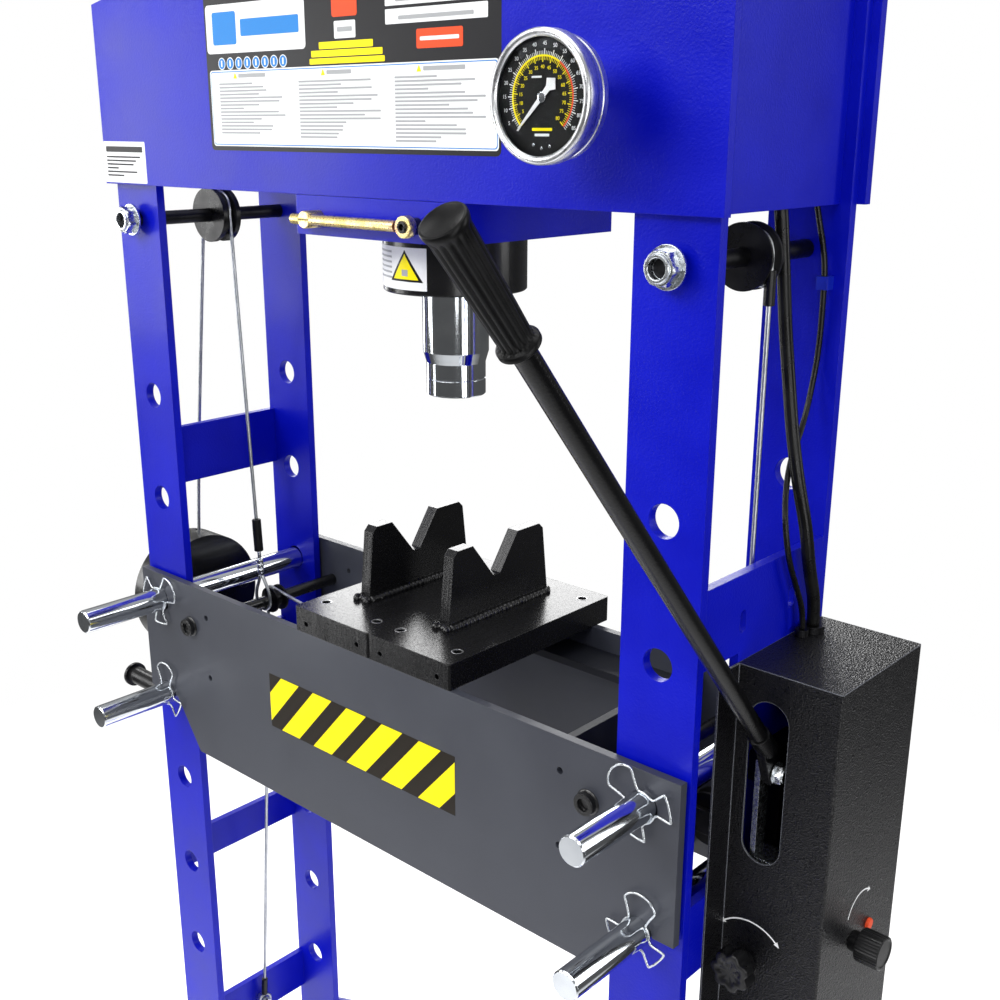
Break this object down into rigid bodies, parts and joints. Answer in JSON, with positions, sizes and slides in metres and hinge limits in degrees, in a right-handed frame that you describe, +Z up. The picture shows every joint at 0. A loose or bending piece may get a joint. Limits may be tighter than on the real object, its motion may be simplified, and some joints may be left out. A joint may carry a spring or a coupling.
{
  "type": "hydraulic shop press",
  "caption": "Blue H-frame hydraulic shop press with pinned table, V-blocks, sliding cylinder, hand pump, gauge and rope winch.",
  "frame": {"origin": "on the floor, half way between the two side frames, front to back centre of the uprights", "axes": "+Z up, +X to the pump side (right seen from the front), +Y to the back"},
  "size_m": [1.256, 0.8867, 1.852],
  "materials": {
    "frame_blue": "gloss powder coat, fine orange peel",
    "table_grey": "satin anthracite powder coat",
    "black_gloss": "gloss black enamel over rough welds",
    "black_hammered": "hammered black powder coat",
    "black_oxide": "satin black oxide",
    "bright_zinc": "bright zinc plating",
    "chrome_steel": "hard chrome, turned ends",
    "yellow_zinc": "yellow passivated zinc",
    "bare_steel": "machined steel",
    "black_plastic": "moulded black plastic",
    "grip_rubber": "ribbed moulded grip",
    "hose_rubber": "smooth rubber hose cover",
    "rope_steel": "stranded galvanised wire rope",
    "gauge_steel": "polished stainless steel",
    "dial_black": "printed black dial",
    "pointer_white": "white lacquer",
    "gauge_glass": "clear flat lens",
    "blue_plastic": "moulded blue plastic"
  },
  "bodies": {
    "root": {"uprights_left": "frame_blue", "uprights_right": "frame_blue", "head_front_plate": "frame_blue", "head_rear_plate": "frame_blue", "head_end_plates": "frame_blue", "side_braces_left": "frame_blue", "side_braces_right": "frame_blue", "base_feet": "frame_blue", "pulley_shafts": "black_oxide", "shaft_nuts": "bright_zinc", "rope_anchor_spool": "black_plastic", "winch_rope": "rope_steel", "levelling_rope": "rope_steel", "rope_fittings": "black_plastic", "gauge_case": "gauge_steel", "gauge_bezel": "gauge_steel", "gauge_dial": "dial_black", "gauge_lens": "gauge_glass", "pump_box": "black_hammered", "pump_block": "black_oxide", "hose_glands": "black_oxide", "hydraulic_hose": "hose_rubber", "gauge_hose": "hose_rubber", "hose_clip": "blue_plastic", "winch_mount": "black_gloss", "winch_case": "black_gloss"},
    "left_pulley": {"left_pulley": "black_plastic"},
    "table": {"table_front_plate": "table_grey", "table_rear_plate": "table_grey", "table_diaphragms": "table_grey", "table_tie_rods": "black_oxide", "table_rope_spools": "black_oxide"},
    "pin_upper_left": {"pin_upper_left": "chrome_steel", "pin_clip_upper_left": "bright_zinc"},
    "pin_lower_left": {"pin_lower_left": "chrome_steel", "pin_clip_lower_left": "bright_zinc"},
    "pin_upper_right": {"pin_upper_right": "chrome_steel", "pin_clip_upper_right": "bright_zinc"},
    "pin_lower_right": {"pin_lower_right": "chrome_steel", "pin_clip_lower_right": "bright_zinc"},
    "v_block_left": {"v_block_left": "black_gloss"},
    "v_block_right": {"v_block_right": "black_gloss"},
    "carriage": {"carriage_plate": "frame_blue", "carriage_hangers": "frame_blue", "carriage_handle": "yellow_zinc", "cylinder_body": "black_gloss", "cylinder_fitting": "bright_zinc", "return_spring": "bare_steel"},
    "ram": {"ram": "chrome_steel", "ram_saddle": "chrome_steel"},
    "gauge_pointer": {"gauge_pointer": "pointer_white"},
    "lever": {"lever_socket": "black_gloss", "lever_tube": "black_gloss", "lever_grip": "grip_rubber"},
    "plunger": {"pump_plunger": "bright_zinc"},
    "release_knob": {"release_knob": "black_plastic"},
    "selector_knob": {"selector_knob": "black_plastic"},
    "winch_drum": {"winch_drum": "bare_steel"},
    "winch_crank": {"winch_crank": "black_gloss"},
    "crank_grip": {"crank_grip": "black_plastic"}
  },
  "joints": [
    {"name": "table_lift", "type": "slide", "parent": "root", "child": "table", "axis": [0, 0, 1], "range_m": [0, 0.0018]},
    {"name": "carriage_slide", "type": "slide", "parent": "root", "child": "carriage", "axis": [1, 0, 0], "range_m": [-0.28, 0.21], "deforming": ["hydraulic_hose"]},
    {"name": "ram_slide", "type": "slide", "parent": "carriage", "child": "ram", "axis": [0, 0, -1], "range_m": [0, 0.16], "deforming": ["return_spring"]},
    {"name": "gauge_needle", "type": "hinge", "parent": "root", "child": "gauge_pointer", "pos_m": [0.3355, -0.202, 1.696], "axis": [0, 1, 0], "range_deg": [0, 270]},
    {"name": "pump_lever", "type": "hinge", "parent": "root", "child": "lever", "pos_m": [0.505, 0, 1.045], "axis": [1, 0, 0], "range_deg": [-8, 42]},
    {"name": "plunger_stroke", "type": "slide", "parent": "root", "child": "plunger", "axis": [0, 0, -1], "range_m": [-0.0055, 0.0275]},
    {"name": "release_turn", "type": "hinge", "parent": "root", "child": "release_knob", "pos_m": [0.497, -0.062, 0.845], "axis": [0, -1, 0], "range_deg": [0, 120]},
    {"name": "selector_turn", "type": "hinge", "parent": "root", "child": "selector_knob", "pos_m": [0.6, 0.018, 0.873], "axis": [1, 0, 0], "range_deg": [0, 90]},
    {"name": "drum_spin", "type": "hinge", "parent": "root", "child": "winch_drum", "pos_m": [-0.506, -0.018, 0.99], "axis": [1, 0, 0], "continuous": true},
    {"name": "crank_spin", "type": "hinge", "parent": "root", "child": "winch_crank", "pos_m": [-0.52, 0.052, 0.99], "axis": [1, 0, 0], "continuous": true},
    {"name": "crank_grip_spin", "type": "hinge", "parent": "winch_crank", "child": "crank_grip", "pos_m": [-0.6, -0.059, 0.822], "axis": [1, 0, 0], "continuous": true},
    {"name": "pulley_spin", "type": "hinge", "parent": "root", "child": "left_pulley", "pos_m": [-0.42, 0.002, 1.556], "axis": [0, 1, 0], "continuous": true},
    {"name": "pin_upper_left_pull", "type": "slide", "parent": "root", "child": "pin_upper_left", "axis": [0, -1, 0], "range_m": [0, 0.42]},
    {"name": "pin_lower_left_pull", "type": "slide", "parent": "root", "child": "pin_lower_left", "axis": [0, -1, 0], "range_m": [0, 0.42]},
    {"name": "pin_upper_right_pull", "type": "slide", "parent": "root", "child": "pin_upper_right", "axis": [0, -1, 0], "range_m": [0, 0.42]},
    {"name": "pin_lower_right_pull", "type": "slide", "parent": "root", "child": "pin_lower_right", "axis": [0, -1, 0], "range_m": [0, 0.42]},
    {"name": "v_block_left_slide", "type": "slide", "parent": "table", "child": "v_block_left", "axis": [1, 0, 0], "range_m": [-0.18, 0]},
    {"name": "v_block_right_slide", "type": "slide", "parent": "table", "child": "v_block_right", "axis": [1, 0, 0], "range_m": [0, 0.18]}
  ],
  "couplings": [
    {"joint": "plunger_stroke", "follows": "pump_lever", "m_per_rad": 0.0365},
    {"joint": "crank_spin", "follows": "drum_spin", "ratio": -4.8333},
    {"joint": "pulley_spin", "follows": "drum_spin", "ratio": 0.5902}
  ]
}
